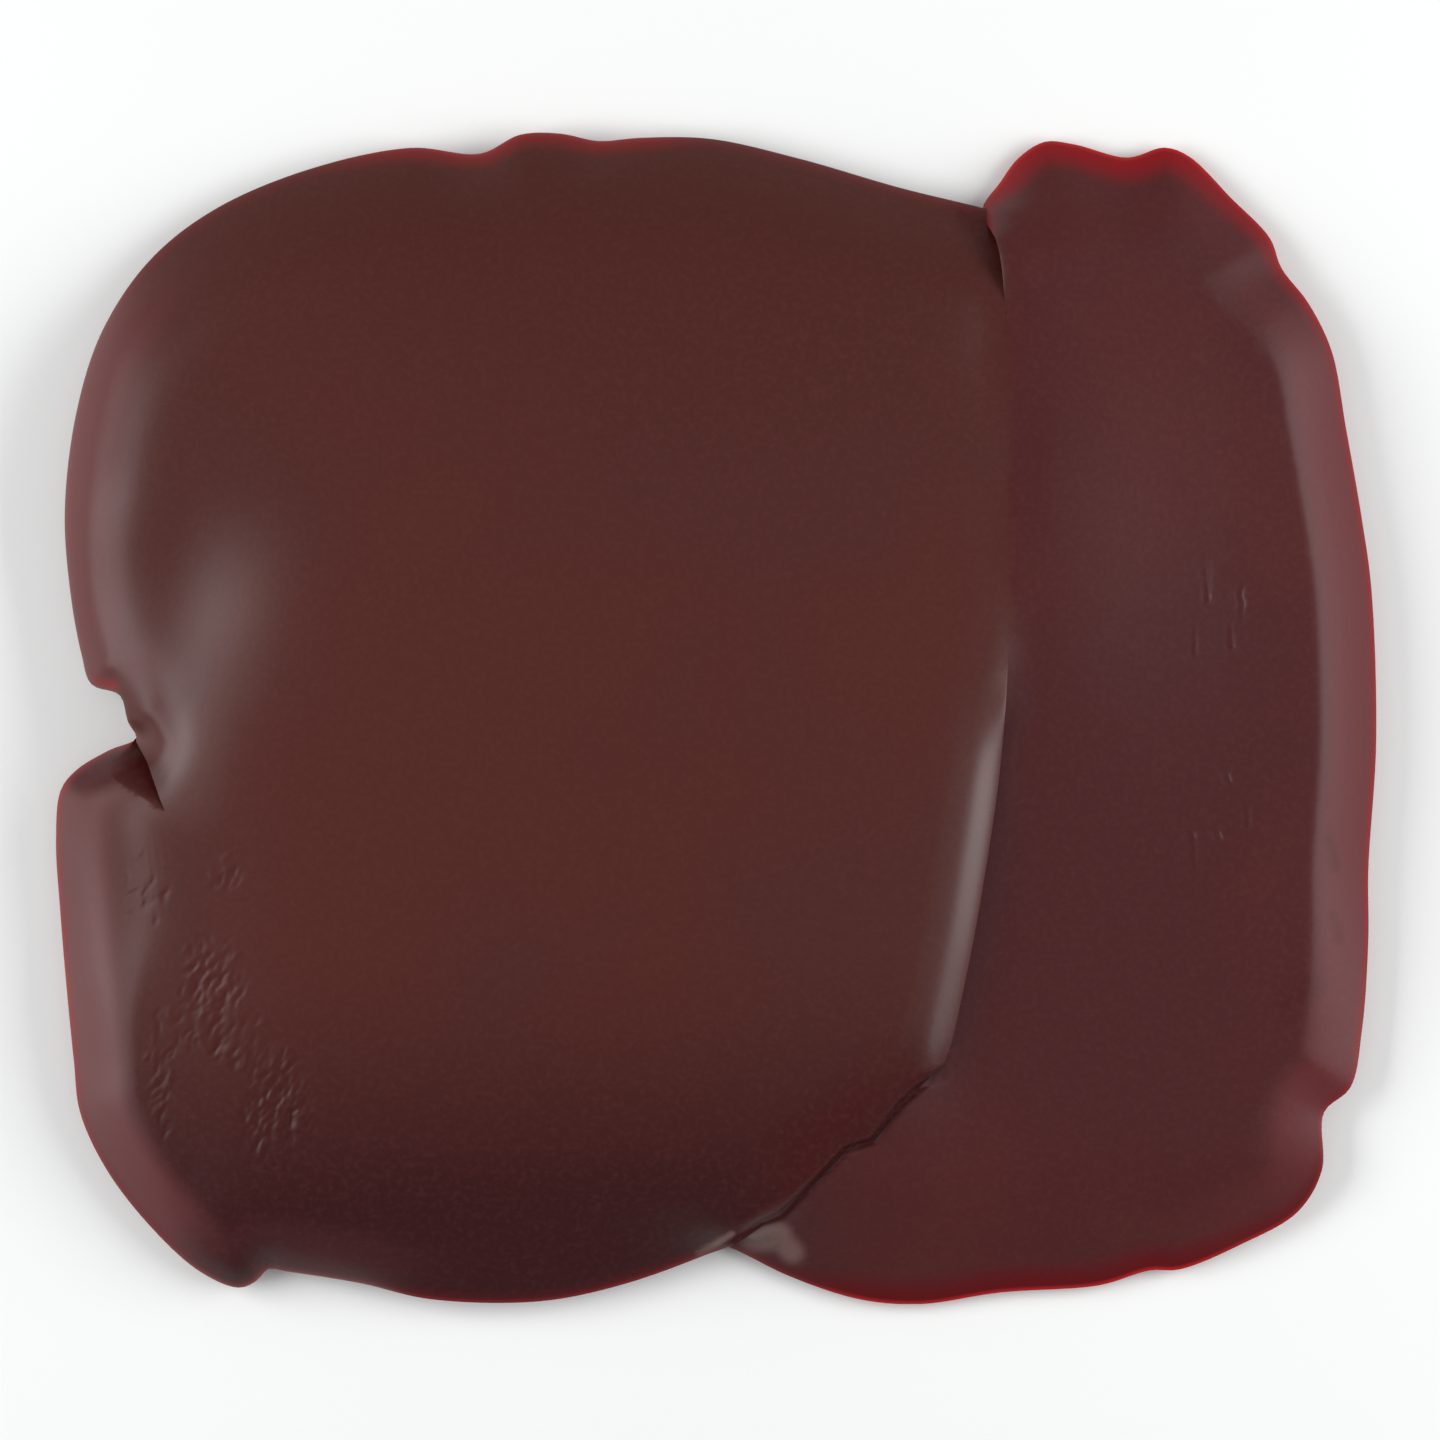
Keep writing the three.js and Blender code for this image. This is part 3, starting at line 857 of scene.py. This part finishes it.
soft = (y > SOFT_FRONT) & (y < SOFT_BACK)
mark(liver, "right_lobe", np.where(soft, ease(x, *PASS_OVER), on_right * 1.0))
# painted red light through the thin rims, and where it is brightest, at the very edge
width = np.maximum(near["blush"], LEAST_RIM_LIGHT)
blush = near["glow"] * (1 - ease(near["distance"] / width, *RIM_LIGHT_FADE)) * (near["blush"] > LEAST_RIM_LIGHT)
mark(liver, "edge", near["glow"] * (1 - ease(near["distance"], *EDGE_FADE)))
# painted paler pink on the flanks, for their sheen and the light through the thin meat
mark(liver, "pale", near["pale"] * (1 - ease(near["distance"], *FLANK_LIGHT_FADE)))
print("points that blush:", int((blush > 0.1).sum()))

# %% [markdown]
# Some marks don't follow a rim: the sheen that lies on a flank, painted shade in the folds and creases, a
# painted milky highlight at the front end of the crease. Each is a stroke along a short path, as with a soft
# brush.

# %% Say where the strokes lie
# a stroke's path, how far from it the stroke is full, how far it reaches, and how strong it is
SHEENS = [
    ([(-111, 38), (-112, 16)], 2, 13, 0.15),
    ([(-90, 30), (-94, 8)], 2, 16, 0.5),
    ([(-94, 8), (-99, -14)], 2, 10, 0.5),
    ([(54, 4), (50, -30), (42.6, -64)], 3, 7, 0.4),
]
# painted shade: under the fissure's lip, along the crease in front and beside it, and in the gap at the top
# of the seam
SHADES = [
    ([(-119.5, -10.5), (-113, -9), (-107, -11)], 2, 5.5, 1),
    ([(41, -66.5), (33, -74), (4, -98)], 1, 2.6, 1),
    ([(38, -72), (20, -84)], 4, 16, 0.7),
    ([(48, 96), (51.5, 92)], 1.5, 4, 0.8),
]
# painted shade in the small folds of the right flank and along the faint seam
FOLD_SHADES = [
    ([(115.8, -22.5), (117.4, -28)], 0.2, 1.6, 0.4),
    ([(116.8, -37), (118.2, -42)], 0.2, 1.5, 0.4),
    ([(108, -53), (113.5, -50.5)], 0.5, 4, 0.3),
    ([(55.6, 44), (56, 39)], 0.2, 1.5, 0.3),
    ([(56, 27), (56.6, 22)], 0.2, 1.5, 0.3),
    ([(57.4, -2), (57.2, -9)], 0.2, 1.5, 0.3),
]
# more of the painted red rim light, at the notch
CRIMSON = [([(-117.6, 7), (-114, 6.2)], 0.4, 1.7, 0.6)]
# painted highlights: the milky sheen at the front end of the crease and a thin glint beside it
PAINTED_HIGHLIGHTS = [
    ([(7, -99), (12, -98)], 1.2, 3.6, 0.85),
    ([(12, -98), (14.4, -101.2)], 0.8, 3.4, 0.8),
    ([(-3, -101.4), (3, -97.4)], 0.2, 1.1, 0.7),
]
# painted shade along the bottom of the crease
CREASE_SHADE = [(CREASE, 0.5, 1.4, 1)]

# %% Brush the strokes on
WET_FADE = (7.5, 11)


def strokes(paths, values=0):
    """The values, raised along each path."""
    for path, full, reach, strength in paths:
        values = np.maximum(values, strength * (1 - ease(off_path(path, x, y), full, reach)))
    return values


shaded = strokes(SHADES)
flank_sheen = near["wet"] * (1 - ease(near["distance"], *WET_FADE))
# the sheen stays off what is shaded, and the shades of the main lobe stay off the right one
mark(liver, "wet", strokes(SHEENS, flank_sheen) * (1 - shaded))
# painted shade in the folds and creases
mark(liver, "shade", strokes(FOLD_SHADES, shaded * (1 - on_right)))
# painted red light through the thin rims
mark(liver, "blush", strokes(CRIMSON, blush))
# painted highlight
mark(liver, "painted_highlight", strokes(PAINTED_HIGHLIGHTS))
# painted shade along the crease
mark(liver, "groove", strokes(CREASE_SHADE))
print("marks:", [item.name for item in liver.data.attributes if item.data_type == "FLOAT"])

# %% [markdown]
# ## Writing shader maths as Python
#
# A material's maths is easier to read as an expression than as a row of nodes. One small class wraps a
# socket, and its operators add the Math nodes. Colours and vectors go through their own nodes, because a
# Math node would turn a colour grey.

# %% Wrap a socket


class Wire:
    def __init__(self, tree, socket):
        self.tree, self.socket = tree, socket

    def node(self, kind, settings=None, **sockets):
        """Adds a node, sets it up, then fills its sockets with values or wires."""
        made = self.tree.nodes.new(kind)
        for name, value in (settings or {}).items():
            setattr(made, name, value)
        for name, value in sockets.items():
            name = int(name[1:]) if name[0] == "_" else name.replace("_", " ")
            if isinstance(value, Wire):
                self.tree.links.new(value.socket, made.inputs[name])
            else:
                made.inputs[name].default_value = value
        return made

    def wire(self, made, output=0):
        return Wire(self.tree, made.outputs[output])

    def maths(self, operation, *values):
        sockets = {f"_{i}": value for i, value in enumerate(values)}
        return self.wire(self.node("ShaderNodeMath", {"operation": operation}, **sockets))

    def __add__(self, other):
        return self.maths("ADD", self, other)

    def __mul__(self, other):
        return self.maths("MULTIPLY", self, other)

    __radd__ = __add__
    __rmul__ = __mul__

    def ease(self, start, end):
        """0 up to start, 1 from end on, smooth between."""
        settings = {"interpolation_type": "SMOOTHSTEP"}
        return self.wire(self.node("ShaderNodeMapRange", settings, _0=self, _1=start, _2=end))

    def mix(self, a, b):
        """Colour a where the wire is 0 and colour b where it is 1."""
        settings = {"data_type": "RGBA"}
        return self.wire(self.node("ShaderNodeMix", settings, _0=self, _6=a, _7=b), 2)

    def mark(self, name):
        return self.wire(self.node("ShaderNodeAttribute", {"attribute_name": name}), 2)

    def noise(self, place, scale, detail=2.0):
        return self.wire(self.node("ShaderNodeTexNoise", Vector=place, Scale=scale, Detail=detail))


# %% [markdown]
# ## The finish of wet liver
#
# The meat is a dark reddish brown under a wet skin. A plain colour would look like plastic, so the brown
# drifts slowly over the surface, the right lobe leans to purple and the back is a little darker. Shade is
# painted on too: the front
# is darker where the lamps at the sides leave it in shade, and so are the folds and the crease. Light is
# painted as well:
# the thin rims are red where light comes through them, the flanks paler pink for their sheen and the light
# through the thin meat, and a milky highlight lies at the front end of the crease. Finer than that come the
# lobules of liver, a millimetre grain that is only just visible, and it also roughens the skin a little.

# %% Mix the finish


def colour(red, green, blue):
    """A colour given as a screen shows it, 0 to 255."""
    shares = [channel / 255 for channel in (red, green, blue)]
    return (*(((share + 0.055) / 1.055) ** 2.4 if share > 0.04 else share / 12.92 for share in shares), 1)


finish = bpy.data.materials.new("wet_liver")
finish.use_nodes = True
skin = finish.node_tree.nodes["Principled BSDF"]
tools = Wire(finish.node_tree, None)
place = tools.wire(tools.node("ShaderNodeTexCoord"), "Object")
apart = tools.node("ShaderNodeSeparateXYZ", Vector=place)
across, along = tools.wire(apart, 0), tools.wire(apart, 1)
drift = tools.noise(place, 18.0)
grain = tools.noise(place, 900.0, 3.0)
on_right_lobe = tools.mark("right_lobe")
rim_light_mark = tools.mark("blush")
wet = tools.mark("wet")

brown = drift.ease(0.35, 0.65).mix(colour(76, 33, 27), colour(72, 33, 30))
# a little darker towards the back
brown = along.ease(0.03, 0.11).mix(brown, colour(69, 29, 23))
# painted shade: darker towards the front, which the lamps at the sides leave in shade
brown = along.ease(-0.04, -0.10).mix(brown, colour(52, 14, 17))
purple = drift.ease(0.35, 0.65).mix(colour(74, 29, 29), colour(69, 28, 30))
flesh = on_right_lobe.mix(brown, purple)
# painted light on the flanks: paler pink for their sheen and the light through the thin meat
painted_flank_light = across.ease(-0.12, -0.09).mix(colour(98, 54, 56), colour(96, 38, 42))
flesh = tools.mark("pale").mix(flesh, painted_flank_light)
# painted shade in the folds, in the crease and under the fissure's lip
flesh = tools.mark("shade").mix(flesh, colour(62, 12, 12))
# painted milky highlight at the front end of the crease
flesh = tools.mark("painted_highlight").mix(flesh, colour(118, 90, 86))
# painted shade along the bottom of the crease
flesh = tools.mark("groove").mix(flesh, colour(50, 8, 7))
flesh = (grain.ease(0.4, 0.8) * 0.2).mix(flesh, colour(92, 46, 40))
# painted red light through the thin rims, darker towards the front and brightest at the very edge
deep = along.ease(-0.06, -0.09).mix(colour(126, 12, 20), colour(88, 6, 14))
red = tools.mark("edge").mix(deep, colour(160, 24, 26))
flesh = rim_light_mark.mix(flesh, red)
finish.node_tree.links.new(flesh.socket, skin.inputs["Base Color"])
roughness = 0.4 + grain * 0.08
finish.node_tree.links.new(roughness.socket, skin.inputs["Roughness"])
finish.node_tree.links.new(wet.socket, skin.inputs["Coat Weight"])
skin.inputs["IOR"].default_value = 1.28
skin.inputs["Coat IOR"].default_value = 1.4
skin.inputs["Coat Roughness"].default_value = 0.33
bump = tools.node("ShaderNodeBump", Height=grain, Strength=0.12, Distance=0.0002)
finish.node_tree.links.new(bump.outputs[0], skin.inputs["Normal"])
print("the finish has", len(finish.node_tree.nodes), "nodes")

# %% [markdown]
# ## Handing the piece over
#
# The piece takes the finish, is shaded smooth except at the seams, and stands for the CAD solid on its
# body.

# %% Finish the piece
SMOOTH_ANGLE = 40

liver.data.materials.clear()
liver.data.materials.append(finish)
only(liver)
bpy.ops.object.shade_smooth_by_angle(angle=math.radians(SMOOTH_ANGLE))
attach(liver, "root")
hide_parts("liver")
print("triangles:", sum(len(face.vertices) - 2 for face in liver.data.polygons))

# %% [markdown]
# ## Floor, light and camera
#
# The floor is plain and pale. Two large soft lights stand low at the sides, so that the flanks catch them
# and the level top stays dark. The camera looks straight down through a long lens.

# %% Lay the floor
# just under the liver, because two faces at the same height would flicker
FLOOR_LEVEL = -0.0001

only(liver)
bpy.ops.object.select_all(action="DESELECT")
bpy.ops.mesh.primitive_plane_add(size=6, location=(0, 0, FLOOR_LEVEL))
floor = bpy.context.object
floor.name = "pale_floor"
pale = bpy.data.materials.new("pale_floor")
pale.use_nodes = True
pale.node_tree.nodes["Principled BSDF"].inputs["Base Color"].default_value = colour(236, 237, 236)
pale.node_tree.nodes["Principled BSDF"].inputs["Roughness"].default_value = 0.8
floor.data.materials.append(pale)
print("the floor is", round(floor.dimensions.x, 1), "m wide")

# %% Set the light


def softbox(name, place, width, height, power):
    """A large lamp that looks at the middle of the floor."""
    lamp = bpy.data.lights.new(name, "AREA")
    lamp.shape = "RECTANGLE"
    lamp.size, lamp.size_y, lamp.energy = width, height, power
    box = bpy.data.objects.new(name, lamp)
    bpy.context.scene.collection.objects.link(box)
    box.location = place
    box.rotation_euler = (-box.location).to_track_quat("-Z", "Y").to_euler()


softbox("left_light", (-1.1, 0.12, 0.62), 1.1, 0.6, 15)
softbox("right_light", (1.1, 0.1, 0.62), 1.1, 0.6, 15)
world = bpy.data.worlds.new("pale_room")
world.use_nodes = True
world.node_tree.nodes["Background"].inputs["Color"].default_value = colour(238, 240, 242)
world.node_tree.nodes["Background"].inputs["Strength"].default_value = 0.4
bpy.context.scene.world = world

# %% Place the camera
PIXEL = 0.19 * MM
IMAGE_WIDTH = 1440
# the pixel at which the liver's origin lies
ORIGIN_ACROSS, ORIGIN_DOWN = 716, 719
CAMERA_HEIGHT = 1.6
# the picture's scale holds at this height over the floor
SHARP_HEIGHT = 4 * MM
lens = bpy.data.cameras.new("overhead")
lens.sensor_width = 36
lens.lens = lens.sensor_width * (CAMERA_HEIGHT - SHARP_HEIGHT) / (IMAGE_WIDTH * PIXEL)
camera = bpy.data.objects.new("overhead", lens)
half = IMAGE_WIDTH / 2
camera.location = ((half - ORIGIN_ACROSS) * PIXEL, (ORIGIN_DOWN - half) * PIXEL, CAMERA_HEIGHT)
bpy.context.scene.collection.objects.link(camera)
bpy.context.scene.camera = camera
bpy.context.scene.view_settings.view_transform = "Standard"
print("lens of", round(lens.lens), "mm at", CAMERA_HEIGHT, "m")
